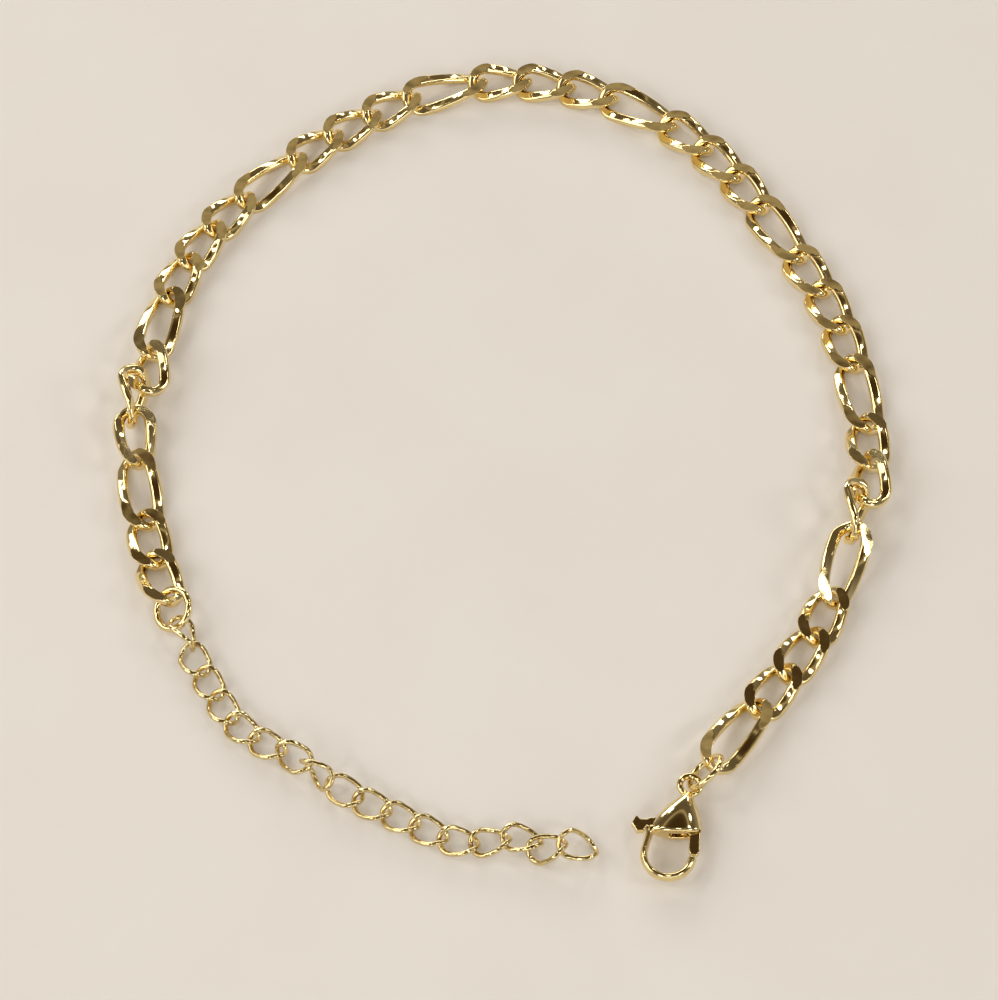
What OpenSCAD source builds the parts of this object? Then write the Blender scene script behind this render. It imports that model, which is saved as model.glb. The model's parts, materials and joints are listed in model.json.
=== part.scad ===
// A chain bracelet lying open on a flat surface: thirty-five oval main links, three short to one long,
// a clasp on a small ring at one end and a round ring with an extender chain of fine links at the other.
// The origin is the centre of the whole outline, on the surface. Sizes are in millimetres.

/* [Main links] */
// Number of main links
link_count = 35; // [33:1:37]
// One link in this many is a long one
long_every = 4; // [3:1:6]
// Width of a link across its two sides
link_w = 4.9; // [4.8:0.05:5.1]
// Thickness of the wire
wire_d = 1.1; // [0.95:0.05:1.15]
// Width of the wire along a link's sides, where it is pressed wider
wire_w = 1.3; // [1.2:0.05:1.35]
// Length of chain that a short link takes up
short_pitch = 5.1; // [5:0.1:5.5]
// Length of chain that a long link takes up
long_pitch = 7.8; // [7:0.1:9]
// Free play of one link in the next
link_clear = 0.25; // [0.2:0.01:0.3]
// Turn of a link from one end to the other, in degrees
link_twist = 90; // [86:1:96]
// Height of the twist as a share of a full turn's height
twist_rise = 0.88; // [0.85:0.01:0.95]
// Thickness of the chain between its two filed faces
chain_h = 1.8; // [1.7:0.05:2]

/* [Extender chain] */
// Number of fine links
fine_count = 17; // [8:1:20]
// Width of a fine link
fine_w = 3.3; // [3.1:0.05:3.6]
// Thickness of its wire
fine_wire_d = 0.55; // [0.45:0.05:0.6]
// Length of chain that a fine link takes up
fine_pitch = 3.2; // [3.1:0.05:3.6]

/* [Rings] */
// Outer diameter of the end ring
end_ring_d = 4.9; // [4.7:0.1:5.2]
// Wire of the end ring
end_ring_wire_d = 0.75; // [0.65:0.05:0.85]
// Outer diameter of the clasp's ring
clasp_ring_d = 4.8; // [4.6:0.1:5]
// Wire of the clasp's ring
clasp_ring_wire_d = 0.65; // [0.55:0.05:0.7]

/* [Clasp] */
// Length from the eye's outer edge to the bottom of the hook
clasp_len = 12; // [11.6:0.1:12.6]
// Thickness of the dome at its middle
dome_h = 2.6; // [2.4:0.1:3]
// Outer diameter of the eye
eye_d = 2.7; // [2.5:0.1:3]
// Wire of the eye
eye_wire_d = 0.62; // [0.5:0.02:0.7]
// Outer diameter of the hook's round end
hook_d = 5.6; // [5.4:0.1:5.8]
// Width of the hook's wire
hook_w = 0.72; // [0.6:0.02:0.8]
// Height of the hook's wire
hook_h = 1.2; // [1.15:0.05:1.4]

/* [Lever] */
// Thickness of the lever
lever_h = 0.7; // [0.5:0.05:0.75]
// Gap round the lever
lever_clear = 0.12; // [0.1:0.01:0.14]
// Diameter of the hinge pin
pin_d = 0.8; // [0.6:0.05:0.9]
// How far the lever opens, in degrees
lever_open = 25; // [15:1:28]
// Width of the gate
gate_w = 1.1; // [0.8:0.05:1.15]
// Length of the thumb tab past the dome's edge
tab_len = 1.85; // [1.7:0.05:2.1]
// Width of the thumb tab
tab_w = 1.35; // [1.25:0.05:1.4]
// Thickness of the thumb tab at its end
tab_h = 0.9; // [0.8:0.05:1.2]

/* [Hidden] */
// Node names
function link_name(i) = str("link_", i < 10 ? "0" : "", i);

// Where the main chain lies, from the end ring's centre to the clasp's eye
CHAIN_ROUTE = [
    [-34.7, -11.2], [-35.3, -8], [-36.7, -3.5], [-37.9, 4.5], [-38.5, 10.5], [-37.8, 17.5],
    [-35.8, 25], [-31, 35.3], [-23.2, 43.4], [-14, 50], [-3.2, 54.7], [8, 54.6],
    [18.8, 50], [27, 42.2], [32.6, 32], [37.5, 20.9], [39.4, 9.4], [39.5, 2.5],
    [38.2, -3.6], [35, -10.9], [32.8, -16.8], [29.9, -21.2], [22.4, -29.7], [19.5, -32.9], [17.1, -35.3]
];
// Where the extender chain lies, from the end ring's centre
FINE_ROUTE = [
    [-34.7, -11.2], [-33.7, -13.8], [-30.9, -19.6], [-27.9, -25.1], [-22.1, -29.1], [-17.8, -32.9],
    [-11.8, -36.4], [-6.1, -39.6], [-1, -39.2], [2.2, -40.4], [5.5, -40.6], [7.5, -40.3]
];
route_steps = 12;

// How far each stretch of the chain is drawn out: first link, share of its full pitch
STRETCHES = [[1, 0.97], [4, 1], [5, 0.84], [7, 1], [29, 0.84], [31, 0.99]];

// How far the clasp's ring is drawn out
ring_pull = 0.9;

// Links that lie turned over or on edge, where the chain is kinked or slack: link number, shifts along,
// to the left and up as shares of the pitch, then turn, slope and roll in degrees
FLAT = [0, 0, 0, 0, 0, 0, 0];
LINK_POSES = [
    [1, -0.03, 0.01, 0, 1, -7, 6],
    [4, -0.06, -0.05, 0, 0, 12, 25],
    [5, -0.02, 0.01, 0, 2, 9, 71],
    [6, -0.06, -0.19, 0.02, 10, -8, 161],
    [7, 0.02, -0.05, 0, 4, -4, 1],
    [28, -0.02, 0, 0, 3, 5, 4],
    [29, 0.04, 0.06, 0.03, 8, 8, 25],
    [30, 0.06, -0.05, 0, 10, -9, 105],
    [31, 0.08, 0.04, 0, -1, -7, 162],
    [35, 0.01, 0.01, 0, 2, 6, 0]
];
FINE_POSES = [
    [1, 0.07, 0.12, 0, -1, -2, -52],
    [6, 0.02, 0, 0, 0, 0, 0],
    [7, 0, 0, 0, 0, 2, 29],
    [8, -0.02, -0.03, 0, -3, 6, 74],
    [9, 0, 0.01, 0, 0, -2, 15],
    [10, 0, 0, 0, 0, 0, 4],
    [14, 0.01, -0.01, 0, -7, 5, -8],
    [15, 0.02, 0.04, 0, -1, -3, -11],
    [16, -0.16, -0.2, 0, 8, 19, -1],
    [17, -0.23, -0.08, 0, -19, -21, 1]
];
// The clasp's ring and the end ring: shifts along and to the left as shares of the ring's diameter,
// then turn and tilt in degrees
CLASP_RING_POSE = [0.04, 0.08, 6, 54];
END_RING_POSE = [-0.03, -0.08, 14, -35];
// Turn of the clasp from the end of the route
clasp_turn = 24.6;

// Facets of meshed wire: sides of the main and the fine wire, and steps round each end of a link.
// A section's corners stand a little proud of the round wire, and its sides a little inside it
wire_sides = 6;
fine_wire_sides = 5;
end_steps = 6;
facet_grow = 1.05;
// How late round a link's end the pressed wire narrows again
widen_power = 6;
$fn = 48;

// Smooth curve through hand-picked points, with tables of x and y against the distance along it
function past_ends(p) = concat([2 * p[0] - p[1]], p, [2 * p[len(p) - 1] - p[len(p) - 2]]);
function blend4(a, b, c, d, t) =
    (2 * b + (c - a) * t + (2 * a - 5 * b + 4 * c - d) * t * t + (3 * b - a - 3 * c + d) * t * t * t) / 2;
function curve_points(route) =
    let (p = past_ends(route))
    concat(
        [
            for (i = [1:len(p) - 3])
                for (k = [0:route_steps - 1])
                    blend4(p[i - 1], p[i], p[i + 1], p[i + 2], k / route_steps)
        ],
        [route[len(route) - 1]]
    );
function running_sum(v) =
    [for (i = 0, s = 0; i <= len(v); s = s + (i < len(v) ? v[i] : 0), i = i + 1) s];
function steps_of(c) = [for (i = [1:len(c) - 1]) norm(c[i] - c[i - 1])];
// A route laid to the length of its chain: tables of x and y, scale, and shift that puts its start in place
function laid(route, run, start) =
    let (
        c = curve_points(route),
        s = running_sum(steps_of(c)),
        k = run / s[len(s) - 1],
        x = [for (i = [0:len(c) - 1]) [s[i], c[i].x]],
        y = [for (i = [0:len(c) - 1]) [s[i], c[i].y]]
    )
    [x, y, k, start - k * route[0]];
function point_at(line, s) = [lookup(s / line[2], line[0]), lookup(s / line[2], line[1])] * line[2] + line[3];
function heading_of(v) = atan2(v.y, v.x);
function turned(v, a) = [v.x * cos(a) - v.y * sin(a), v.x * sin(a) + v.y * cos(a)];

// Stations along the main chain: the joint before link i is CHAIN_JOINTS[i - 1]
function is_long(i) = i % long_every == long_every - 1;
function pitch_of(i) = is_long(i) ? long_pitch : short_pitch;
function pull_of(i) = let (begun = [for (r = STRETCHES) if (i >= r[0]) r[1]]) begun[len(begun) - 1];
end_ring_reach = end_ring_d / 2 - end_ring_wire_d - link_clear / 2;
clasp_ring_reach = (clasp_ring_d / 2 - clasp_ring_wire_d) * ring_pull - link_clear / 2;
eye_reach = eye_d / 2 - eye_wire_d - link_clear / 2;
chain_sums = running_sum([for (i = [1:link_count]) pitch_of(i) * pull_of(i)]);
CHAIN_JOINTS = [for (s = chain_sums) end_ring_reach + s];
chain_end = CHAIN_JOINTS[link_count];
clasp_ring_at = chain_end + clasp_ring_reach;
chain_run = clasp_ring_at + clasp_ring_reach + eye_reach;
CHAIN_LINE = laid(CHAIN_ROUTE, chain_run, CHAIN_ROUTE[0]);
end_ring_xy = point_at(CHAIN_LINE, 0);
clasp_ring_xy = point_at(CHAIN_LINE, clasp_ring_at);
eye_xy = point_at(CHAIN_LINE, chain_run);

// Stations along the extender chain
fine_start = end_ring_reach;
fine_run = fine_start + fine_count * fine_pitch;
FINE_LINE = laid(FINE_ROUTE, fine_run, end_ring_xy);

// A closed oval of wire, twisted about its long axis x: its corners, ring by ring
function oval_stops(half_len, half_w) =
    let (
        a = half_len - half_w,
        turns = [for (k = [0:end_steps]) 180 * k / end_steps - 90],
        right = [for (q = turns) [a + half_w * cos(q), half_w * sin(q), q]],
        left = [for (r = right) [-r.x, -r.y, r[2] + 180]]
    )
    concat(right, [[0, half_w, 90]], left, [[0, -half_w, 270]]);
function twist_up(x, r, len) =
    let (phi = -link_twist * x / len)
    [x, r * cos(phi), twist_rise * r * sin(phi)];
function unit(v) = v / norm(v);
function wire_oval(inner_len, width, wire, side_wire, sides, face_h) =
    let (
        half_len = (inner_len + wire) / 2,
        half_w = (width - side_wire) / 2,
        stops = oval_stops(half_len, half_w),
        n = len(stops),
        centre = [for (s = stops) twist_up(s.x, s.y, 2 * half_len)],
        corner_r = wire / 2 * facet_grow
    )
    [
        for (i = [0:n - 1])
            let (
                along = unit(centre[(i + 1) % n] - centre[(i + n - 1) % n]),
                q = stops[i][2],
                lean = -link_twist * stops[i].x / (2 * half_len),
                out = [cos(q), sin(q) * cos(lean), sin(q) * sin(lean)],
                side = unit(cross(along, out)),
                face = cross(side, along),
                wide = 1 + (side_wire / wire - 1) * pow(sin(q), widen_power)
            )
            for (k = [0:sides - 1])
                let (
                    w = 360 * (k + 0.5) / sides,
                    p = centre[i] + corner_r * (wide * cos(w) * face + sin(w) * side)
                )
                [p.x, p.y, max(-face_h / 2, min(face_h / 2, p.z))]
    ];
function tube_faces(rings, sides) =
    [
        for (i = [0:rings - 1])
            for (k = [0:sides - 1])
                let (
                    a = i * sides + k,
                    b = i * sides + (k + 1) % sides,
                    c = (i + 1) % rings * sides + (k + 1) % sides,
                    d = (i + 1) % rings * sides + k
                )
                each [[a, c, b], [a, d, c]]
    ];
module wire_link(points, sides) {
    polyhedron(points, tube_faces(len(points) / sides, sides));
}

// The pose of a link on its line: centre, then heading, slope and roll. It rests on the surface
function height_under(points, slope, roll) =
    -min([for (p = points) p.x * sin(slope) + (p.y * sin(roll) + p.z * cos(roll)) * cos(slope)]);
function link_pose(line, from, to, row, pitch, points) =
    let (
        a = point_at(line, from),
        b = point_at(line, to),
        heading = heading_of(b - a),
        shift = turned([row[1], row[2]] * pitch, heading)
    )
    [
        for (v = (a + b) / 2 + shift) v,
        height_under(points, row[5], row[6]) + row[3] * pitch,
        heading + row[4],
        row[5],
        row[6]
    ];
function row_of(table, i) = let (found = [for (r = table) if (r[0] == i) r]) len(found) > 0 ? found[0] : FLAT;
module at_pose(p) {
    translate([p[0], p[1], p[2]])
        rotate([p[5], -p[4], p[3]])
            children();
}

// The three kinds of link
function main_points(i) =
    wire_oval(pitch_of(i) + link_clear, link_w, wire_d, wire_w, wire_sides, chain_h);
FINE_POINTS =
    wire_oval(fine_pitch + link_clear, fine_w, fine_wire_d, fine_wire_d, fine_wire_sides, fine_w);
function main_pose(i) =
    link_pose(
        CHAIN_LINE,
        CHAIN_JOINTS[i - 1],
        CHAIN_JOINTS[i],
        row_of(LINK_POSES, i),
        short_pitch,
        main_points(i)
    );
function fine_pose(i) =
    link_pose(
        FINE_LINE,
        fine_start + (i - 1) * fine_pitch,
        fine_start + i * fine_pitch,
        row_of(FINE_POSES, i),
        fine_pitch,
        FINE_POINTS
    );

// Poses of the two rings: a ring lies in its own x and y, and tilts about its own x
function ring_pose(xy, heading, row, d, wire) =
    [
        for (v = xy + turned([row[0], row[1]] * d, heading)) v,
        (d - wire) / 2 * abs(sin(row[3])) + wire / 2,
        heading + row[2],
        0,
        row[3]
    ];
last_heading = heading_of(eye_xy - clasp_ring_xy);
first_heading = heading_of(point_at(CHAIN_LINE, end_ring_reach) - end_ring_xy);
CLASP_RING = ring_pose(clasp_ring_xy, last_heading, CLASP_RING_POSE, clasp_ring_d, clasp_ring_wire_d);
END_RING = ring_pose(end_ring_xy, first_heading, END_RING_POSE, end_ring_d, end_ring_wire_d);
clasp_heading = last_heading + clasp_turn;
CLASP = [eye_xy.x, eye_xy.y, dome_h / 2, clasp_heading, 0, 0];

// Clasp, in its own frame: x from the eye to the hook, y to the gate's side, z up from mid-thickness
hook_x = clasp_len - eye_d / 2 - hook_d / 2;
hook_r = (hook_d - hook_w) / 2;
// Places along the clasp are shares of the hook's distance, and places across it of the rim's half width
rim_x = hook_x * 0.77;
rim_half = hook_d * 0.485;
dome_top_x = eye_d * 0.46;
// Half width of the dome from its neck to its rim, as shares of its length and of its rim
DOME_X = 0;
DOME_HALF = 1;
DOME_EDGE = [[0, 0.2], [0.1, 0.29], [0.25, 0.5], [0.45, 0.71], [0.65, 0.87], [0.85, 0.96], [1, 1]];
// The rim slants: it starts nearer the eye on the gate's side
gate_rim = [rim_x * 0.79, rim_half * 0.93];
rim_middle = [rim_x * 0.95, 0];
// The dome is where two large balls overlap, one from above and one from below
dome_ball_r = 7;
dome_middle_x = (dome_top_x + rim_x) * 0.58;
pin_xy = [hook_x * 0.51, rim_half * 0.26];
// The lever's own outline follows the gap in the hook and the dome's left edge
arm_w = 0.95;
hub_wall = 0.55;
hub_r = pin_d / 2 + lever_clear + hub_wall;
// How far inside the hook's line the gate's tip lies
gate_inset = 0.13;
gate_base = [hook_x * 0.65, rim_half * 0.7];
gate_tip = [hook_x * 0.864, hook_r - gate_inset];
tab_root = [rim_x * 0.836, -rim_half * 0.957];
// Heading of the tab, in degrees, and its outline past the hook's root: across it, towards the hook, as
// shares of its width, and along it as shares of its length
tab_turn = -85.2;
TAB_END = [[-0.07, 0.58], [-0.31, 0.83], [0.39, 1], [0.94, 0.62]];
TAB_EDGE = concat([[-0.26, 0]], TAB_END, [[0.78, 0.24], [0.38, 0.16], [0.38, 0]]);
// Its thicker end starts this far along it, between these shares of its width
tab_step = 0.46;
TAB_THICK = concat([[-0.11, tab_step]], TAB_END, [[0.88, tab_step]]);
hook_end_angle = 97;
// How deep the hook's root and the pin's ends sit in the dome
root_lap = 0.35;
pin_lap = 0.1;
// The slot leaves room past the lever's widest opening, and is swept in steps of
spare_open = 4;
sweep_step = 5;
slot_h = lever_h + 2 * lever_clear;

// The whole outline's middle, which is the origin
centres = [for (i = [1:link_count]) let (p = main_pose(i)) [p[0], p[1]]];
hook_xy = eye_xy + turned([hook_x, 0], clasp_heading);
box_x = [min([for (c = centres) c.x]), max([for (c = centres) c.x])];
box_y = [hook_xy.y - hook_d / 2, max([for (c = centres) c.y]) + link_w / 2];
middle = [(box_x[0] + box_x[1]) / 2, (box_y[0] + box_y[1]) / 2];

module placed(p) {
    translate([-middle.x, -middle.y, 0])
        at_pose(p)
            children();
}

module main_link(i) {
    color("goldenrod")
        placed(main_pose(i))
            wire_link(main_points(i), wire_sides);
}

module extender_chain() {
    color("gold")
        for (i = [1:fine_count])
            placed(fine_pose(i))
                wire_link(FINE_POINTS, fine_wire_sides);
}

module wire_ring(d, wire) {
    rotate_extrude()
        translate([(d - wire) / 2, 0])
            circle(d = wire, $fn = 24);
}

module end_ring() {
    color("gold")
        placed(END_RING)
            wire_ring(end_ring_d, end_ring_wire_d);
}

module clasp_ring() {
    color("gold")
        placed(CLASP_RING)
            wire_ring(clasp_ring_d, clasp_ring_wire_d);
}

// A straight bar with round ends, flat in x and y
module bar(a, b, width, grow) {
    full_w = width + 2 * grow;
    translate(a)
        circle(d = full_w);
    translate(b)
        circle(d = full_w);
    translate(a)
        rotate(heading_of(b - a))
            translate([0, -full_w / 2])
                square([norm(b - a), full_w]);
}

module lever_outline(grow) {
    translate(pin_xy)
        circle(r = hub_r + grow);
    bar(pin_xy, gate_base, gate_w, grow);
    bar(gate_base, gate_tip, gate_w, grow);
    bar(pin_xy, tab_root, arm_w, grow);
}

module tab_part(shares, height) {
    translate([tab_root.x, tab_root.y, -height / 2])
        rotate(tab_turn + 90)
            linear_extrude(height)
                polygon([for (p = shares) [p.x * tab_w, -p.y * tab_len]]);
}

module about_pin(a) {
    translate(pin_xy)
        rotate(a)
            translate(-pin_xy)
                children();
}

module dome() {
    edge = [for (r = DOME_EDGE) [dome_top_x + r[DOME_X] * (rim_x - dome_top_x), r[DOME_HALF] * rim_half]];
    last = len(edge) - 1;
    right = [for (i = [0:last]) if (edge[i].x < gate_rim.x) edge[i]];
    left = [for (i = [last:-1:0]) [edge[i].x, -edge[i].y]];
    outline = concat(right, [gate_rim, rim_middle], left);
    rise = dome_h / 2 - dome_ball_r;
    intersection() {
        translate([0, 0, -dome_h / 2])
            linear_extrude(dome_h)
                polygon(outline);
        translate([dome_middle_x, 0, rise])
            sphere(r = dome_ball_r, $fn = 64);
        translate([dome_middle_x, 0, -rise])
            sphere(r = dome_ball_r, $fn = 64);
    }
}

// Section of the hook's wire, standing on the x axis at its own centre
module hook_section() {
    polygon([for (k = [0:11]) let (w = 30 * k + 15) [hook_w / 2 * cos(w), hook_h / 2 * sin(w)]]);
}

module hook() {
    translate([hook_x, 0, 0])
        rotate(-90)
            rotate_extrude(angle = 90 + hook_end_angle)
                translate([hook_r, 0])
                    hook_section();
    translate([hook_x, -hook_r, 0])
        rotate([0, -90, 0])
            linear_extrude(hook_x - rim_x + root_lap)
                rotate(90)
                    hook_section();
}

module clasp_body() {
    color("goldenrod")
        placed(CLASP) {
            wire_ring(eye_d, eye_wire_d);
            difference() {
                dome();
                translate([0, 0, -slot_h / 2])
                    linear_extrude(slot_h)
                        for (a = [0:sweep_step:lever_open + spare_open])
                            about_pin(-a)
                                lever_outline(lever_clear);
            }
            hook();
            translate([pin_xy.x, pin_xy.y, -slot_h / 2 - pin_lap])
                cylinder(d = pin_d, h = slot_h + 2 * pin_lap);
        }
}

module clasp_lever() {
    color("goldenrod")
        placed(CLASP) {
            difference() {
                translate([0, 0, -lever_h / 2])
                    linear_extrude(lever_h)
                        lever_outline(0);
                translate([pin_xy.x, pin_xy.y, -lever_h])
                    cylinder(r = pin_d / 2 + lever_clear / 2, h = 2 * lever_h);
            }
            tab_part(TAB_EDGE, lever_h);
            tab_part(TAB_THICK, tab_h);
        }
}

for (i = [1:link_count]) {
    main_link(i);
}
end_ring();
extender_chain();
clasp_ring();
clasp_body();
clasp_lever();
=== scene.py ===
"""A gold-plated figaro bracelet, lying open on a pale surface, seen from the photograph's angle.

Every link, ring and clasp piece is modelled again around its solid in the frame, as a smooth, filed and
polished form that replaces it. A link or ring lies where its solid's own symmetry axes say, and the clasp's
two pieces lie where its hinge and the middle of its hook say.
"""
import json
import math

import bmesh
import bpy
import numpy as np
from mathutils import Matrix, Vector


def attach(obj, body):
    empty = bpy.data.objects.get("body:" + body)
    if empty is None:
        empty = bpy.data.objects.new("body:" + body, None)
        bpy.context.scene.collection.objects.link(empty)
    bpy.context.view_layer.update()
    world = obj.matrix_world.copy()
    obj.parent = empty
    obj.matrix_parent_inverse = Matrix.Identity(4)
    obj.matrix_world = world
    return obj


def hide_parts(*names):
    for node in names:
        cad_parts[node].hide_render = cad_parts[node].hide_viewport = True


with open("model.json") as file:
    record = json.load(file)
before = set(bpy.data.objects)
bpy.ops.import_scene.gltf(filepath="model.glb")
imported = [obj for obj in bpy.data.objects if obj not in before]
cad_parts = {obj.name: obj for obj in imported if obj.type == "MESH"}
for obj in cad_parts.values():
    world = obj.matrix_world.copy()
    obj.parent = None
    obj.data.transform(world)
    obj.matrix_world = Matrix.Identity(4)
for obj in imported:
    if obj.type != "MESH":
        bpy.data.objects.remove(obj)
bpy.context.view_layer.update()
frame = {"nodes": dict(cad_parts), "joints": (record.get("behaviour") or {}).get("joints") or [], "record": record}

MM = 0.001
# A short step, in millimetres, over which a slope is measured
NEAR = 1e-3

# Sizes of the main chain, in millimetres: a link's width, its wire, the wire's width where it is pressed
# along the link's sides, and the height from one filed face to the other
LINK_W = 4.72
WIRE_D = 1.08
SIDE_WIRE_W = 1.26
CHAIN_H = 1.8
# Sizes of the extender's links and of the two rings, in millimetres
FINE_W = 3.22
FINE_WIRE_D = 0.52
END_RING_WIRE_D = 0.75
CLASP_RING_WIRE_D = 0.65


def unit(v):
    """The vectors along the last axis, each scaled to length 1."""
    return v / np.linalg.norm(v, axis=-1, keepdims=True)


def soft_min(a, b, k):
    """The nearer of two distances, with a fillet of about k where they meet."""
    h = np.clip(0.5 + 0.5 * (b - a) / k, 0, 1)
    return b + (a - b) * h - k * h * (1 - h)


def soft_max(a, b, k):
    """The further of two distances, with an edge rounded by about k."""
    return -soft_min(-a, -b, k)


def add_object(name, data):
    """A new object in the scene, which holds a mesh, a lamp or a camera."""
    made = bpy.data.objects.new(name, data)
    bpy.context.scene.collection.objects.link(made)
    return made


def mesh_of(name, points, faces, normals):
    """A smooth mesh object of points in metres, with its own normals."""
    mesh = bpy.data.meshes.new(name)
    mesh.from_pydata([tuple(p) for p in points], [], faces)
    mesh.shade_smooth()
    mesh.normals_split_custom_set_from_vertices([tuple(n) for n in normals])
    return add_object(name, mesh)


# The twisted wire of a link

# How far a link is twisted from end to end, how much of the twist's full rise is left, and how sharply the
# pressed part of its wire ends
LINK_TWIST = math.radians(90)
TWIST_RISE = 0.88
WIDEN_POWER = 6


def oval_at(s, half_len, half_w):
    """Where a distance s along an oval with round ends lies, and which way is out of it there."""
    straight = half_len - half_w
    half_turn = math.pi * half_w
    s = s % (2 * half_turn + 4 * straight)
    side = np.where(s < half_turn + 2 * straight, 1, -1)
    s = s % (half_turn + 2 * straight)
    q = np.minimum(s / half_w, math.pi) - math.pi / 2
    x = straight + half_w * np.cos(q) - np.maximum(0, s - half_turn)
    return side * x, side * half_w * np.sin(q), side * np.cos(q), side * np.sin(q)


class TwistedWire:
    """The wire of a twisted link: a round wire on a twisted oval line, pressed wider along the two sides."""

    def __init__(self, inner_len, width, wire, side_wire):
        self.half_len = (inner_len + wire) / 2
        self.half_w = (width - side_wire) / 2
        self.radius = wire / 2
        self.widen = side_wire / wire - 1
        self.length = 2 * math.pi * self.half_w + 4 * (self.half_len - self.half_w)

    def line(self, s):
        """At distances s: the twisted centre line, the way out of it, and how much that points sideways."""
        x, y, out_x, out_y = oval_at(s, self.half_len, self.half_w)
        lean = -LINK_TWIST * x / (2 * self.half_len)
        centre = np.stack([x, y * np.cos(lean), TWIST_RISE * y * np.sin(lean)], -1)
        return centre, np.stack([out_x, out_y * np.cos(lean), out_y * np.sin(lean)], -1), out_y

    def section(self, s):
        """At distances s: the centre, and the two ways across the wire, as long as its half sizes."""
        centre, out, sideways = self.line(s)
        along = unit(self.line(s + NEAR)[0] - self.line(s - NEAR)[0])
        side = unit(np.cross(along, out))
        wide = 1 + self.widen * np.abs(sideways) ** WIDEN_POWER
        return centre, np.cross(side, along) * (self.radius * wide)[..., None], side * self.radius


def surface_normals(surface, s, w):
    """The way out of a closed tube's surface at distances s along it and angles w round it."""
    d_along = surface(s + NEAR, w) - surface(s - NEAR, w)
    d_round = surface(s, w + NEAR) - surface(s, w - NEAR)
    return unit(np.cross(d_round, d_along))


def tube_faces(rows, columns, first=0):
    """Quads of a closed tube: rows of points, each row joined to the next and the last to the first."""
    faces = []
    for row in range(rows):
        this = first + row * columns
        after = first + (row + 1) % rows * columns
        for k in range(columns):
            k_after = (k + 1) % columns
            faces.append((this + k, this + k_after, after + k_after, after + k))
    return faces


# Columns of the mesh round the fine links and the rings, and rows along them
COLUMNS = 20
FINE_ROWS = 120
RING_ROWS = 120


def rows_and_columns(distances):
    """The rows' distances along a wire and the columns' angles round it, as two grids."""
    return np.meshgrid(distances, 2 * math.pi * np.arange(COLUMNS) / COLUMNS, indexing="ij")


# Main links, filed flat above and below

# Rows of the mesh for each millimetre of wire. Columns over each flat, and down each side between the flats
ROWS_PER_MM = 9.5
FLAT_COLUMNS = 4
SIDE_COLUMNS = 14
# Half the angle that a flat takes up at the least, and half that of the narrow bevel at its edge, in radians
LEAST_CAP = 0.16
BEVEL = 0.05
# The press also flattens the wire above and below along a link's sides: by this share of its radius, with
# an edge this soft
PRESSED_FLAT = 0.18
PRESSED_EDGE = 0.08


def filed_angles(wire, s):
    """The angles round a filed wire at which its columns lie, for each of the distances s."""
    centre, face, side = wire.section(s)
    reach = np.hypot(face[:, 2], side[:, 2])
    top = np.arctan2(side[:, 2], face[:, 2])
    cap_above, cap_below = (
        np.maximum(LEAST_CAP, np.arccos(np.clip((CHAIN_H / 2 - sign * centre[:, 2]) / reach, -1, 1)))
        for sign in (1, -1)
    )
    over = np.linspace(0, 1, FLAT_COLUMNS // 2 + 1)
    beside = np.linspace(0, 1, SIDE_COLUMNS + 1)
    # From the top round to the bottom on one side, and back up on the other
    down = np.concatenate([
        over * (cap_above - BEVEL)[:, None],
        (cap_above + BEVEL)[:, None] + beside * (math.pi - cap_above - cap_below - 2 * BEVEL)[:, None],
        math.pi - over[::-1] * (cap_below - BEVEL)[:, None],
    ], 1)
    return top[:, None] + np.concatenate([down, -down[:, -2:0:-1]], 1)


def filed_link(inner_len):
    """Points and normals of a twisted link, filed flat above and below."""
    wire = TwistedWire(inner_len, LINK_W, WIRE_D, SIDE_WIRE_W)
    rows = round((2 * inner_len + math.pi * LINK_W) * ROWS_PER_MM)
    s = wire.length * np.arange(rows) / rows
    w = filed_angles(wire, s)

    def surface(s, w):
        centre, face, side = wire.section(s)
        level = 1 - PRESSED_FLAT * np.abs(wire.line(s)[2]) ** WIDEN_POWER
        rise = np.sign(np.sin(w)) * soft_min(np.abs(np.sin(w)), level, PRESSED_EDGE)
        p = centre + face * np.cos(w)[..., None] + side * rise[..., None]
        p[..., 2] = np.clip(p[..., 2], -CHAIN_H / 2, CHAIN_H / 2)
        return p

    s = np.broadcast_to(s[:, None], w.shape)
    return surface(s, w), surface_normals(surface, s, w)


# Fine links, cut with small facets

# A facet's length along the wire and its depth, in millimetres, and the rows of facets round the wire
FACET_RUN = 0.74
FACET_DEPTH = 0.03
FACET_ROWS = 4
# The least cosine used for a facet's plane, which keeps its distance finite on the wire's far side
LEAST_FACING = 0.3


def faceted_link(inner_len):
    """Points and normals of a fine twisted link, whose round wire is cut with small shallow facets."""
    wire = TwistedWire(inner_len, FINE_W, FINE_WIRE_D, FINE_WIRE_D)
    count = round(wire.length / FACET_RUN)

    def surface(s, w):
        centre, face, side = wire.section(s)
        depth = 1
        for row in range(FACET_ROWS):
            middle = (row + 0.5) * 2 * math.pi / FACET_ROWS
            place = (s / wire.length * count + row / 2) % 1 - 0.5
            cut = 1 - FACET_DEPTH / wire.radius * (1 - 4 * place ** 2)
            facing = np.maximum(np.cos(w - middle), LEAST_FACING)
            depth = np.minimum(depth, cut / facing)
        return centre + (face * np.cos(w)[..., None] + side * np.sin(w)[..., None]) * depth[..., None]

    s, w = rows_and_columns(wire.length * np.arange(FINE_ROWS) / FINE_ROWS)
    return surface(s, w), surface_normals(surface, s, w)


# Laying the links on their solids

# Corners of a solid that are nearer than this, in metres, are one corner
SAME_CORNER = 1e-6
LINKS_MADE = {}


def own_axes(points):
    """Centre and symmetry axes of a solid's points: its long axis, its width and its thickness."""
    centre = points.mean(0)
    spread, axes = np.linalg.eigh(np.cov((points - centre).T))
    axes = axes[:, np.argsort(-spread)]
    axes[:, 2] = np.cross(axes[:, 0], axes[:, 1])
    return centre, axes


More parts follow.
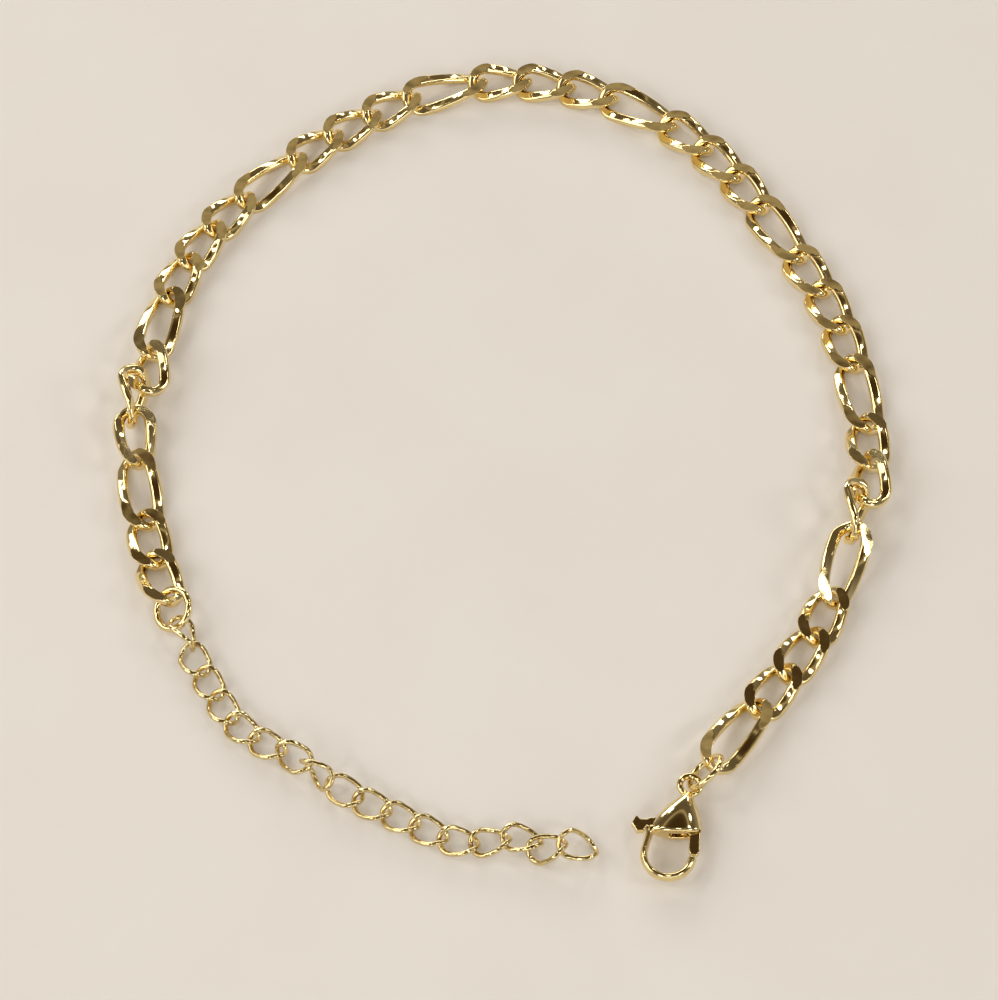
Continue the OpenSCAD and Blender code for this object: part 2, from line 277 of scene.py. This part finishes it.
def reach_along(points, centre, axes):
    """A solid's length in millimetres along its own long axis."""
    return np.ptp((points - centre) @ axes[:, 0]) / MM


def islands(node):
    """The separate solids of a node, each as an array of its corners in metres."""
    work = bmesh.new()
    work.from_mesh(frame["nodes"][node].data)
    bmesh.ops.remove_doubles(work, verts=work.verts, dist=SAME_CORNER)
    work.verts.ensure_lookup_table()
    left = set(work.verts)
    groups = []
    while left:
        seed = min(left, key=lambda v: v.index)
        group, front = {seed}, [seed]
        while front:
            for edge in front.pop().link_edges:
                for v in edge.verts:
                    if v not in group:
                        group.add(v)
                        front.append(v)
        left -= group
        groups.append(np.array([v.co for v in sorted(group, key=lambda v: v.index)], float))
    work.free()
    return groups


def laid(grid, ways, centre, axes):
    """Points in millimetres and their normals, moved from a piece's own frame to the object's, in metres."""
    points = grid.reshape(-1, 3) @ axes.T * MM + centre
    points[:, 2] += max(0, -points[:, 2].min())
    return points, ways.reshape(-1, 3) @ axes.T


def laid_link(form, points, wire):
    """A link of a form, laid on its solid's points: points, normals, rows and columns.

    Links of the same form and length are the same.
    """
    centre, axes = own_axes(points)
    inner_len = round(reach_along(points, centre, axes) - 2 * wire, 2)
    if (form, inner_len) not in LINKS_MADE:
        LINKS_MADE[form, inner_len] = form(inner_len)
    grid, ways = LINKS_MADE[form, inner_len]
    spots, normals = laid(grid, ways, centre, axes)
    return spots, normals, grid.shape[:2]


def make_main_link(node):
    """One twisted, filed link."""
    spots, normals, shape = laid_link(filed_link, islands(node)[0], WIRE_D)
    return mesh_of(node + "_polished", spots, tube_faces(*shape), normals)


def make_extender():
    """All the fine links, as one body."""
    spots, faces, normals = [], [], []
    for points in islands("extender_chain"):
        placed, turned, shape = laid_link(faceted_link, points, FINE_WIRE_D)
        faces += tube_faces(*shape, first=len(spots) * len(placed))
        spots.append(placed)
        normals.append(turned)
    return mesh_of("extender_links", np.concatenate(spots), faces, np.concatenate(normals))


# Rings

# The cut where a ring was closed: its depth and half width in millimetres, how far along the ring it still
# shows, and the rows of mesh on each side of it
SEAM_DEPTH = 0.05
SEAM_W = 0.05
SEAM_REACH = 4 * SEAM_W
SEAM_ROWS = 12


def make_ring(node, wire):
    """A round ring of wire, with the fine seam where it was closed."""
    points = islands(node)[0]
    centre, axes = own_axes(points)
    middle_r = reach_along(points, centre, axes) / 2 - wire / 2
    length = 2 * math.pi * middle_r

    def surface(s, w):
        off_seam = (s + length / 2) % length - length / 2
        radius = wire / 2 - SEAM_DEPTH * np.exp(-((off_seam / SEAM_W) ** 2))
        turn = s / middle_r
        r = middle_r + radius * np.cos(w)
        return np.stack([r * np.cos(turn), r * np.sin(turn), -radius * np.sin(w)], -1)

    at_seam = SEAM_REACH * np.arange(-SEAM_ROWS, SEAM_ROWS) / SEAM_ROWS
    rest = np.linspace(SEAM_REACH, length - SEAM_REACH, RING_ROWS)
    s, w = rows_and_columns(np.concatenate([at_seam, rest[:-1]]))
    grid = surface(s, w)
    spots, normals = laid(grid, surface_normals(surface, s, w), centre, axes)
    return mesh_of(node + "_wire", spots, tube_faces(*grid.shape[:2]), normals)


# The clasp, in millimetres and in its own frame: x from the eye to the hook, y to the gate's side

CLASP_LEN = 12
EYE_D = 2.7
EYE_WIRE_D = 0.66
HOOK_D = 5.6
HOOK_X = CLASP_LEN - EYE_D / 2 - HOOK_D / 2
# Grid step of the cast surface, how many times its points are pulled onto the exact surface, and how softly
# its forms run into each other and its edges are rounded
CAST_STEP = 0.06
CAST_PULLS = 3
CAST_BLEND = 0.25
CAST_EDGE = 0.1
# Keeps a division away from zero
TINY = 1e-9
# The boxes that hold the body and the lever: their lowest and highest corners
BODY_BOX = ((-1.6, -3.1, -1.5), (10.9, 3.1, 1.5))
LEVER_BOX = ((2.7, -5.1, -0.8), (7.7, 3.1, 0.8))
# The dome: its height, where it starts and where its rim is, and the rim's half width
DOME_H = 2.6
DOME_TOP_X = EYE_D * 0.46
RIM_X = HOOK_X * 0.77
RIM_HALF = HOOK_D * 0.485
# Its half width along it, from its neck to past its rim, as a share of the rim's: the terms of a polynomial,
# and the least share
DOME_WIDTH = (0.2, 1.418, -0.551, -0.072)
LEAST_DOME_WIDTH = 0.05
# Its neck leans to the gate's side by NECK_LEAN, and reaches past its start by NECK_LAP
NECK_LEAN = 0.1
NECK_LAP = 0.29
# It rounds off across by this power, and its lip is rounded by about this much
DOME_ROUND = 2.0
DOME_LIP = 0.4
# Along it, its height follows a ball round this middle, of this radius, and levels off this far from it
DOME_MIDDLE_X = (DOME_TOP_X + RIM_X) * 0.58
DOME_BALL_R = 7
DOME_BALL_REACH = 3.4
# Three points of the curved rim: on the gate's side, in the middle and on the hook's side
RIM = ((RIM_X * 0.79, RIM_HALF * 0.93), (RIM_X * 0.95, 0), (RIM_X, -RIM_HALF))
# The hook's wire: its height, the outer radius of its arc, its half width where it leaves the dome and at
# its end, the power by which it widens between them, and the angles where its arc starts and ends
HOOK_H = 1.2
HOOK_OUTER = HOOK_D / 2 - 0.02
HOOK_HALF_W = (0.36, 0.44)
HOOK_WIDEN_POWER = 3
HOOK_START, HOOK_END = math.radians(-90), math.radians(97)
# Its straight root: how far it reaches into the dome and past the start of the arc, and its blend with that
HOOK_LAP = 0.35
HOOK_OVERRUN = 0.25
HOOK_BLEND = 0.02
# The hinge pin: its middle, its radius, the gap round it in the lever, and how far it runs into the dome
PIN_XY = (HOOK_X * 0.51, RIM_HALF * 0.26)
PIN_R = 0.4
PIN_GAP = 0.06
PIN_LAP = 0.1
# The lever: its height, the radius of its hub, the widths of its arm and gate, the line of its gate from the
# pin to the hook's tip, and the rounding of its edges
LEVER_H = 0.7
HUB_R = 1.07
ARM_W = 0.95
GATE_W = 1.1
GATE_BASE = (HOOK_X * 0.65, RIM_HALF * 0.7)
GATE_TIP = (HOOK_X * 0.864, (HOOK_D - 0.72) / 2 - 0.13)
LEVER_EDGE = 0.14
# Its thumb tab: where its root is, which way it points, its outline's corners across and along from the
# root, its height at its end, and how far along it starts and stops thickening
TAB_ROOT = (RIM_X * 0.836, -RIM_HALF * 0.957)
TAB_TURN = math.radians(-85.2)
TAB_PAD = (
    (-0.35, 0), (-0.1, 1.07), (-0.42, 1.54), (0.53, 1.85),
    (1.27, 1.15), (1.05, 0.44), (0.51, 0.3), (0.51, 0),
)
TAB_H = 0.9
TAB_SWELL = (-0.2, 1.7)
# The slot in the dome: its height, its room round the lever, and the lever's turns that it is cut for
SLOT_H = 0.94
LEVER_CLEAR = 0.12
SWEEP = [math.radians(turn) for turn in (0, 5, 10, 15, 20, 25)]
# Where the slot also opens through the dome's rim, beside the gate, and half its width there
SLOT_MOUTH = (RIM_X + 0.3, -0.2)
SLOT_MOUTH_HALF = 0.5


def to_segment(x, y, a, b):
    """Distance from points to the line from a to b."""
    ux, uy = b[0] - a[0], b[1] - a[1]
    t = np.clip(((x - a[0]) * ux + (y - a[1]) * uy) / (ux * ux + uy * uy), 0, 1)
    return np.hypot(x - a[0] - t * ux, y - a[1] - t * uy)


def to_outline(x, y, corners):
    """Signed distance to a closed outline, below zero inside it."""
    best = np.full(np.broadcast(x, y).shape, np.inf)
    inside = np.zeros(best.shape, bool)
    for a, b in zip(corners, np.roll(corners, -1, 0)):
        best = np.minimum(best, to_segment(x, y, a, b))
        rise = b[1] - a[1] if b[1] != a[1] else 1
        crosses = (a[1] > y) != (b[1] > y)
        inside ^= crosses & (x < (b[0] - a[0]) * (y - a[1]) / rise + a[0])
    return np.where(inside, -best, best)


def from_pin(x, y):
    """Distance from points to the hinge pin's middle."""
    return np.hypot(x - PIN_XY[0], y - PIN_XY[1])


def circle_through(a, b, c):
    """Centre and radius of the circle through three points."""
    (ax, ay), (bx, by), (cx, cy) = a, b, c
    d = 2 * (ax * (by - cy) + bx * (cy - ay) + cx * (ay - by))
    a2, b2, c2 = ax * ax + ay * ay, bx * bx + by * by, cx * cx + cy * cy
    x = (a2 * (by - cy) + b2 * (cy - ay) + c2 * (ay - by)) / d
    y = (a2 * (cx - bx) + b2 * (ax - cx) + c2 * (bx - ax)) / d
    return (x, y), math.hypot(ax - x, ay - y)


RIM_MIDDLE, RIM_R = circle_through(*RIM)


def dome_field(x, y, z):
    """The teardrop dome: a pillow that rounds off towards its edge, above and below."""
    share = (x - DOME_TOP_X) / (RIM_X - DOME_TOP_X)
    half_w = RIM_HALF * np.maximum(np.polynomial.polynomial.polyval(share, DOME_WIDTH), LEAST_DOME_WIDTH)
    across = (y - NECK_LEAN * np.clip(1 - share * share, 0, 1)) / half_w
    off_middle = np.minimum(np.abs(x - DOME_MIDDLE_X), DOME_BALL_REACH)
    half_h = DOME_H / 2 - DOME_BALL_R + np.sqrt(DOME_BALL_R ** 2 - off_middle ** 2)
    pillow = (np.sqrt(np.abs(across) ** DOME_ROUND + (z / half_h) ** 2) - 1) * half_h
    rim = np.hypot(x - RIM_MIDDLE[0], y - RIM_MIDDLE[1]) - RIM_R
    return soft_max(np.maximum(pillow, DOME_TOP_X - NECK_LAP - x), rim, DOME_LIP)


def wire_section(off, half_w, z, half_h):
    """About the distance to an oval wire, from how far off its centre line a point lies, level and up."""
    a, b = off / half_w, z / half_h
    q = np.sqrt(a * a + b * b) + TINY
    return q * (q - 1) / (np.sqrt((a / half_w) ** 2 + (b / half_h) ** 2) + TINY)


def hook_field(x, y, z):
    """The hook: a straight root along the dome's side, then an arc that ends at the gate's tip."""
    root_w, end_w = HOOK_HALF_W
    turn = np.arctan2(y, x - HOOK_X)
    middle, reach = (HOOK_START + HOOK_END) / 2, (HOOK_END - HOOK_START) / 2
    share = np.clip((turn - HOOK_START) / (HOOK_END - HOOK_START), 0, 1)
    half_w = root_w + (end_w - root_w) * share ** HOOK_WIDEN_POWER
    r = np.hypot(x - HOOK_X, y)
    arc = wire_section(r - HOOK_OUTER + half_w, half_w, z, HOOK_H / 2)
    past_end = (np.abs(turn - middle) - reach) * r
    arc = soft_max(arc, past_end, CAST_EDGE)
    root = wire_section(y + HOOK_OUTER - root_w, root_w, z, HOOK_H / 2)
    root = np.maximum(root, np.maximum(RIM_X - HOOK_LAP - x, x - HOOK_X - HOOK_OVERRUN))
    return soft_min(arc, root, HOOK_BLEND)


def lever_plan(x, y):
    """Distance to the lever's outline without its tab, seen from above."""
    hub = from_pin(x, y) - HUB_R
    gate_line = np.minimum(to_segment(x, y, PIN_XY, GATE_BASE), to_segment(x, y, GATE_BASE, GATE_TIP))
    arm = to_segment(x, y, PIN_XY, TAB_ROOT) - ARM_W / 2
    return np.minimum(hub, np.minimum(gate_line - GATE_W / 2, arm))


def slot_field(x, y, z):
    """The slot in the dome: the room that the lever sweeps, and a mouth through the rim."""
    swept = to_segment(x, y, PIN_XY, SLOT_MOUTH) - SLOT_MOUTH_HALF
    dx, dy = x - PIN_XY[0], y - PIN_XY[1]
    for turn in SWEEP:
        back_x = PIN_XY[0] + dx * math.cos(turn) - dy * math.sin(turn)
        back_y = PIN_XY[1] + dx * math.sin(turn) + dy * math.cos(turn)
        swept = np.minimum(swept, lever_plan(back_x, back_y) - LEVER_CLEAR)
    return np.maximum(swept, np.abs(z) - SLOT_H / 2)


def body_field(x, y, z):
    """The clasp's cast body: eye, dome with the lever's slot, hinge pin and hook."""
    eye = np.hypot(np.hypot(x, y) - (EYE_D - EYE_WIRE_D) / 2, z) - EYE_WIRE_D / 2
    body = soft_max(dome_field(x, y, z), -slot_field(x, y, z), CAST_EDGE)
    pin = np.maximum(from_pin(x, y) - PIN_R, np.abs(z) - SLOT_H / 2 - PIN_LAP)
    body = soft_min(np.minimum(body, pin), eye, CAST_BLEND)
    return soft_min(body, hook_field(x, y, z), CAST_BLEND)


def lever_field(x, y, z):
    """The lever: hub, gate and an angular thumb tab that is thicker at its end."""
    c, s = math.cos(TAB_TURN), math.sin(TAB_TURN)
    pad = np.array([(TAB_ROOT[0] - s * a + c * u, TAB_ROOT[1] + c * a + s * u) for a, u in TAB_PAD])
    plan = np.minimum(lever_plan(x, y), to_outline(x, y, pad))
    along = (x - TAB_ROOT[0]) * c + (y - TAB_ROOT[1]) * s
    out = np.clip((along - TAB_SWELL[0]) / (TAB_SWELL[1] - TAB_SWELL[0]), 0, 1)
    half_h = LEVER_H / 2 + (TAB_H - LEVER_H) / 2 * out * out * (3 - 2 * out)
    lever = soft_max(plan, np.abs(z) - half_h, LEVER_EDGE)
    return np.maximum(lever, PIN_R + PIN_GAP - from_pin(x, y))


# Meshing the clasp's fields on a grid

# Of a row of grid points, those that start its edges and those that end them
STARTS_AND_ENDS = (slice(None, -1), slice(1, None))


def edges_along(axis, others):
    """The grid points that start and that end the edges along an axis, cut to others on the other axes."""
    start, end = [others] * 3, [others] * 3
    start[axis], end[axis] = STARTS_AND_ENDS
    return tuple(start), tuple(end)


def cell_points(f, inside):
    """For each cell that the surface crosses, the mean of its edges' crossings. Also the points' numbers."""
    cells = [n - 1 for n in f.shape]
    total, count = np.zeros(cells + [3]), np.zeros(cells)
    for axis in range(3):
        start, end = edges_along(axis, slice(None))
        cross = inside[start] != inside[end]
        t = np.where(cross, f[start] / np.where(cross, f[start] - f[end], 1), 0)
        p, q = [k for k in range(3) if k != axis]
        for dp in (0, 1):
            for dq in (0, 1):
                part = [slice(None)] * 3
                part[p], part[q] = STARTS_AND_ENDS[dp], STARTS_AND_ENDS[dq]
                c, share = cross[tuple(part)], t[tuple(part)]
                count += c
                total[..., axis] += c * share
                total[..., p] += c * dp
                total[..., q] += c * dq
    live = count > 0
    index = np.full(cells, -1)
    index[live] = np.arange(live.sum())
    return np.argwhere(live) + total[live] / count[live][:, None], index


def cell_quads(inside, index):
    """A quad for each grid edge that the surface crosses, through the points of the four cells round it."""
    quads = []
    for axis in range(3):
        p, q = (axis + 1) % 3, (axis + 2) % 3
        start, end = edges_along(axis, slice(1, -1))
        going_out = inside[start] & ~inside[end]
        coming_in = ~inside[start] & inside[end]
        for cross, order in ((going_out, 1), (coming_in, -1)):
            node = np.argwhere(cross)
            node[:, p] += 1
            node[:, q] += 1
            ring = []
            for dp, dq in ((-1, -1), (0, -1), (0, 0), (-1, 0)):
                cell = node.copy()
                cell[:, p] += dp
                cell[:, q] += dq
                ring.append(index[tuple(cell.T)])
            quads.append(np.stack(ring, 1)[:, ::order])
    return np.concatenate(quads)


def slope(field, points):
    """Where a field grows fastest at each point, and how fast."""
    rise = [
        (field(*(points + shift).T) - field(*(points - shift).T)) / (2 * NEAR)
        for shift in np.eye(3) * NEAR
    ]
    return np.stack(rise, 1)


def cast_surface(field, low, high):
    """A mesh of the surface where a field of distances is zero: its points, quads and normals."""
    axes = [np.arange(a, b, CAST_STEP) for a, b in zip(low, high)]
    f = np.broadcast_to(field(*np.ix_(*axes)), [len(a) for a in axes])
    inside = f < 0
    spots, index = cell_points(f, inside)
    points = np.array(low) + spots * CAST_STEP
    for _ in range(CAST_PULLS):
        rise = slope(field, points)
        points -= rise * (field(*points.T) / (rise ** 2).sum(1))[:, None]
    return points, cell_quads(inside, index), unit(slope(field, points))


def clasp_place():
    """The clasp's eye centre and its axes, from its hinge and the middle of its hook."""
    pivot = np.array(frame["joints"][0]["pos_m"])
    hook = next(np.array(m["pos_m"]) for m in frame["record"]["mounts"] if m["name"] == "clasp_hook")
    own = math.atan2(-PIN_XY[1], HOOK_X - PIN_XY[0])
    heading = math.atan2(hook[1] - pivot[1], hook[0] - pivot[0]) - own
    c, s = math.cos(heading), math.sin(heading)
    axes = np.array([[c, -s, 0], [s, c, 0], [0, 0, 1]])
    middle = (pivot + hook) / 2
    own_middle = np.array([(PIN_XY[0] + HOOK_X) / 2, PIN_XY[1] / 2, 0]) * MM
    return middle - axes @ own_middle, axes


def make_cast(name, field, box):
    """One cast piece of the clasp, in its place."""
    points, faces, normals = cast_surface(field, *box)
    spots, ways = laid(points, normals, *clasp_place())
    return mesh_of(name, spots, faces.tolist(), ways)


# Materials

# The colour sockets of a mix node
MIX_FIRST, MIX_SECOND, MIX_RESULT = 6, 7, 2


class Nodes:
    """A material and its nodes, added in short lines."""

    def __init__(self, name):
        self.material = bpy.data.materials.new(name)
        self.material.use_nodes = True
        self.tree = self.material.node_tree

    def join(self, socket, value):
        """Another node's output, or a number or colour, for an input."""
        if isinstance(value, bpy.types.NodeSocket):
            self.tree.links.new(value, socket)
        else:
            socket.default_value = value

    def fill(self, node, inputs):
        """Several inputs of a node by name, with _ for a space."""
        for key, value in inputs.items():
            self.join(node.inputs[key.replace("_", " ")], value)

    def add(self, kind, settings=None, **inputs):
        """A node, with its settings and inputs. Gives its first output."""
        node = self.tree.nodes.new(kind)
        for key, value in (settings or {}).items():
            setattr(node, key, value)
        self.fill(node, inputs)
        return node.outputs[0]

    def shade(self, **inputs):
        """The shader's inputs. Gives the finished material."""
        self.fill(self.tree.nodes["Principled BSDF"], inputs)
        return self.material

    def in_mm(self, turn=(0, 0, 0), scale=(1, 1, 1)):
        """The piece's own coordinates in millimetres, turned and stretched."""
        place = self.add("ShaderNodeTexCoord").node.outputs["Object"]
        return self.add("ShaderNodeMapping", Vector=place, Rotation=turn, Scale=[v / MM for v in scale])

    def noise(self, place, scale, detail, roughness=0.5):
        """A cloudy pattern, with this many spots for each millimetre."""
        settings = {"normalize": True}
        return self.add(
            "ShaderNodeTexNoise", settings, Vector=place, Scale=scale, Detail=detail, Roughness=roughness
        )

    def span(self, value, low, high, to_low=0, to_high=1):
        """A value from low to high, as a number from to_low to to_high, kept between them."""
        return self.add(
            "ShaderNodeMapRange", Value=value, From_Min=low, From_Max=high, To_Min=to_low, To_Max=to_high
        )

    def combine(self, operation, *values):
        """Two or three values, combined by a named operation."""
        result = self.add("ShaderNodeMath", {"operation": operation})
        for socket, value in zip(result.node.inputs, values):
            self.join(socket, value)
        return result

    def blend(self, share, first, second):
        """The first colour where the share is 0, and the second where it is 1."""
        mix = self.add("ShaderNodeMix", {"data_type": "RGBA"}, Factor=share).node
        mix.inputs[MIX_FIRST].default_value = first
        mix.inputs[MIX_SECOND].default_value = second
        return mix.outputs[MIX_RESULT]

    def bump(self, height, depth, strength=1.0, settings=None, **inputs):
        """Relief from a pattern, as deep as depth in millimetres."""
        return self.add(
            "ShaderNodeBump", settings, Height=height, Strength=strength, Distance=depth * MM, **inputs
        )


# Yellow gold plate where it is fresh, and where handling has dulled it a little
GOLD_FRESH = (0.93, 0.76, 0.38)
GOLD_WORN = (0.85, 0.66, 0.32)
# The finish of each material slot: roughness from and to, depth of the scratches and of the waviness in
# millimetres, and how much of the fresh plate's brightness is left. The fine links' lower share is painted
# shade, standing in for the shadow among their thin wires
FINISHES = {
    "link_gold": (0.06, 0.15, 0.0001, 0.034, 0.97),
    "fine_gold": (0.07, 0.16, 0.0005, 0.004, 0.84),
    "ring_gold": (0.06, 0.15, 0.0006, 0.004, 0.92),
    "clasp_gold": (0.05, 0.14, 0.0006, 0.006, 0.94),
    "lever_gold": (0.08, 0.18, 0.0006, 0.005, 0.94),
}
# Hairline scratches run two ways: turn in degrees about each axis, and stretch
SCRATCHES = (((12, 20, 35), (0.5, 14, 14)), ((-25, 8, 110), (0.4, 11, 11)))
# The metal's patterns: spots for each millimetre, detail and roughness
WORN_NOISE = (0.55, 3.0)
GRIME_NOISE = (3.1, 4.0, 0.6)
SCRATCH_NOISE = (1.0, 2.0, 0.7)
WAVE_NOISE = (0.75, 0.0)
# Where in its pattern each mark begins to show, and where it shows in full
WORN_SPAN = (0.42, 0.68)
GRIME_SPAN = (0.4, 0.7)
SCRATCH_SPAN = (0.6, 0.72)
# How much of the way from the finish's lower roughness to its higher one each mark takes
GRIME_DULLS = 0.65
SCRATCH_DULLS = 0.35


def gold(slot):
    """Polished yellow gold plate with handling marks: hairline scratches, dulled patches, slight waves."""
    low, high, scratch_depth, wave_depth, brightness_and_painted_shade = FINISHES[slot]
    made = Nodes(slot + "_polish")
    place = made.in_mm()
    # The plate's two colours are scaled by the slot's share; on the fine links this darkening is painted shade
    fresh, worn = ([brightness_and_painted_shade * part for part in colour] + [1] for colour in (GOLD_FRESH, GOLD_WORN))
    wear = made.span(made.noise(place, *WORN_NOISE), *WORN_SPAN)
    lines = []
    for turn, stretch in SCRATCHES:
        pattern = made.noise(made.in_mm([math.radians(a) for a in turn], stretch), *SCRATCH_NOISE)
        lines.append(made.span(pattern, *SCRATCH_SPAN))
    scratches = made.combine("MAXIMUM", *lines)
    grime = made.span(made.noise(place, *GRIME_NOISE), *GRIME_SPAN, 0, GRIME_DULLS)
    dull = made.combine("MULTIPLY_ADD", scratches, SCRATCH_DULLS, grime)
    waves = made.bump(made.noise(place, *WAVE_NOISE), wave_depth)
    return made.shade(
        Base_Color=made.blend(wear, fresh, worn),
        Metallic=1,
        Roughness=made.span(dull, 0, 1, low, high),
        Normal=made.bump(scratches, scratch_depth, settings={"invert": True}, Normal=waves),
    )


# The floor, lights and camera

# Half the floor's side in metres, its two close tones, and its roughness
FLOOR_HALF = 2.5
FLOOR_PALE = (0.92, 0.875, 0.82, 1)
FLOOR_SHADE = (0.9, 0.85, 0.795, 1)
FLOOR_ROUGHNESS = 0.85
# Its patterns, as the metal's: the mottle between its tones, and its tooth with its depth in millimetres
MOTTLE_NOISE = (0.05, 3.0)
MOTTLE_SPAN = (0.35, 0.65)
TOOTH_NOISE = (2.2, 3.0)
TOOTH_DEPTH = 0.04
TOOTH_STRENGTH = 0.35
# Lamps: direction round the object and height in degrees, distance, width and height in metres, watts. The
# wide ones are softboxes. Those as wide as they are tall are small and round, and leave spots on the polish
LAMPS = (
    ("back", 100, 18, 1.1, 0.9, 0.25, 3.6),
    ("left", 184, 31, 0.9, 0.9, 0.5, 3.0),
    ("right", -12, 28, 0.9, 0.22, 0.22, 0.8),
    ("front", -90, 22, 0.95, 1.2, 0.4, 1.4),
    ("spot_1", 60, 24, 0.9, 0.14, 0.14, 0.4),
    ("spot_2", 112, 31, 0.9, 0.14, 0.14, 0.4),
    ("spot_3", 148, 44, 0.9, 0.13, 0.13, 0.35),
    ("spot_4", 30, 46, 0.9, 0.13, 0.13, 0.35),
    ("spot_5", -118, 32, 0.8, 0.16, 0.16, 0.5),
    ("spot_6", -52, 36, 0.8, 0.16, 0.16, 0.45),
    ("spot_7", 172, 60, 0.9, 0.14, 0.14, 0.4),
    ("spot_8", 4, 60, 0.9, 0.14, 0.14, 0.4),
    ("spot_9", -90, 66, 0.9, 0.15, 0.15, 0.45),
)
LAMP_COLOUR = (1, 0.985, 0.95)
# The room's colour, by the cosine of the angle from this direction, which is almost overhead. It is dark
# there, with a narrow pale ring round the dark, and grows lighter towards the sides
ROOM_DARK_WAY = (0.0, 0.16, 0.987)
ROOM = (
    (0.0, (0.37, 0.35, 0.32, 1)),
    (0.35, (0.24, 0.22, 0.2, 1)),
    (0.7, (0.12, 0.095, 0.07, 1)),
    (0.845, (0.12, 0.095, 0.065, 1)),
    (0.885, (0.42, 0.36, 0.26, 1)),
    (0.925, (0.085, 0.058, 0.03, 1)),
    (0.98, (0.05, 0.03, 0.013, 1)),
)
# The camera of the photograph: height angle, roll, the frame's longer side and focal length in pixels, and
# the scale at the point that it is aimed at
CAMERA_HEIGHT = math.radians(59)
CAMERA_ROLL = math.radians(-4)
FRAME_PX = 1000
FOCAL_PX = 3130
PX_PER_MM = 9.5
AIM = Vector((-0.49, -5.97, 0)) * MM
# The width of its sensor in millimetres, and how near it sees in metres
SENSOR_MM = 36
CLIP_START = 0.01


def make_floor():
    """A plain pale matt floor, with a faint tooth like heavy paper."""
    mesh = bpy.data.meshes.new("floor")
    corners = [(x * FLOOR_HALF, y * FLOOR_HALF, 0) for x, y in ((-1, -1), (1, -1), (1, 1), (-1, 1))]
    mesh.from_pydata(corners, [], [(0, 1, 2, 3)])
    floor = add_object("floor", mesh)
    paper = Nodes("floor_paper")
    place = paper.in_mm()
    mottle = paper.span(paper.noise(place, *MOTTLE_NOISE), *MOTTLE_SPAN)
    mesh.materials.append(paper.shade(
        Base_Color=paper.blend(mottle, FLOOR_PALE, FLOOR_SHADE),
        Roughness=FLOOR_ROUGHNESS,
        Normal=paper.bump(paper.noise(place, *TOOTH_NOISE), TOOTH_DEPTH, TOOTH_STRENGTH),
    ))


def add_lamps():
    """The lamps of the table above, each turned to the middle of the object."""
    for name, turn, height, far, wide, tall, watts in LAMPS:
        lamp = bpy.data.lights.new(name, "AREA")
        lamp.shape = "ELLIPSE" if wide == tall else "RECTANGLE"
        lamp.size = wide
        lamp.size_y = tall
        lamp.energy = watts
        lamp.color = LAMP_COLOUR
        made = add_object(name, lamp)
        turn, height = math.radians(turn), math.radians(height)
        made.location = (
            far * math.cos(turn) * math.cos(height),
            far * math.sin(turn) * math.cos(height),
            far * math.sin(height),
        )
        made.rotation_euler = (-made.location).to_track_quat("-Z", "Y").to_euler()


def add_room():
    """The room round the object, which lights it faintly and is reflected in its metal."""
    world = bpy.data.worlds.new("room")
    world.use_nodes = True
    tree = world.node_tree
    place = tree.nodes.new("ShaderNodeTexCoord")
    angle = tree.nodes.new("ShaderNodeVectorMath")
    angle.operation = "DOT_PRODUCT"
    angle.inputs[1].default_value = ROOM_DARK_WAY
    ramp = tree.nodes.new("ShaderNodeValToRGB")
    tree.links.new(place.outputs["Generated"], angle.inputs[0])
    tree.links.new(angle.outputs["Value"], ramp.inputs[0])
    tree.links.new(ramp.outputs[0], tree.nodes["Background"].inputs["Color"])
    stops = ramp.color_ramp.elements
    while len(stops) < len(ROOM):
        stops.new(0.5)
    for stop, (at, colour) in zip(stops, ROOM):
        stop.position = at
        stop.color = colour
    bpy.context.scene.world = world


def add_camera():
    """The camera, at the photograph's height, roll and scale."""
    made = bpy.data.cameras.new("camera")
    made.sensor_width = SENSOR_MM
    made.lens = FOCAL_PX / FRAME_PX * SENSOR_MM
    made.clip_start = CLIP_START
    camera = add_object("camera", made)
    far = FOCAL_PX / PX_PER_MM * MM
    back = Vector((0, -math.cos(CAMERA_HEIGHT), math.sin(CAMERA_HEIGHT)))
    right = Vector((1, 0, 0))
    up = back.cross(right)
    turn = Matrix((right, up, back)).transposed() @ Matrix.Rotation(CAMERA_ROLL, 3, "Z")
    camera.matrix_world = Matrix.Translation(AIM + back * far) @ turn.to_4x4()
    bpy.context.scene.camera = camera


# The pieces on their bodies

METALS = {slot: gold(slot) for slot in FINISHES}


def dress(piece, body, node, slot):
    """Puts a piece on its body, in the place of its node, in the metal of its slot."""
    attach(piece, body)
    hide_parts(node)
    piece.data.materials.append(METALS[slot])


for node in frame["nodes"]:
    if node.startswith("link_"):
        dress(make_main_link(node), "chain", node, "link_gold")
dress(make_extender(), "chain", "extender_chain", "fine_gold")
for node, wire in (("end_ring", END_RING_WIRE_D), ("clasp_ring", CLASP_RING_WIRE_D)):
    dress(make_ring(node, wire), "chain", node, "ring_gold")
dress(make_cast("clasp_cast", body_field, BODY_BOX), "chain", "clasp_body", "clasp_gold")
dress(make_cast("lever_cast", lever_field, LEVER_BOX), "lever", "clasp_lever", "lever_gold")

make_floor()
add_lamps()
add_room()
add_camera()
bpy.context.scene.view_settings.view_transform = "Standard"
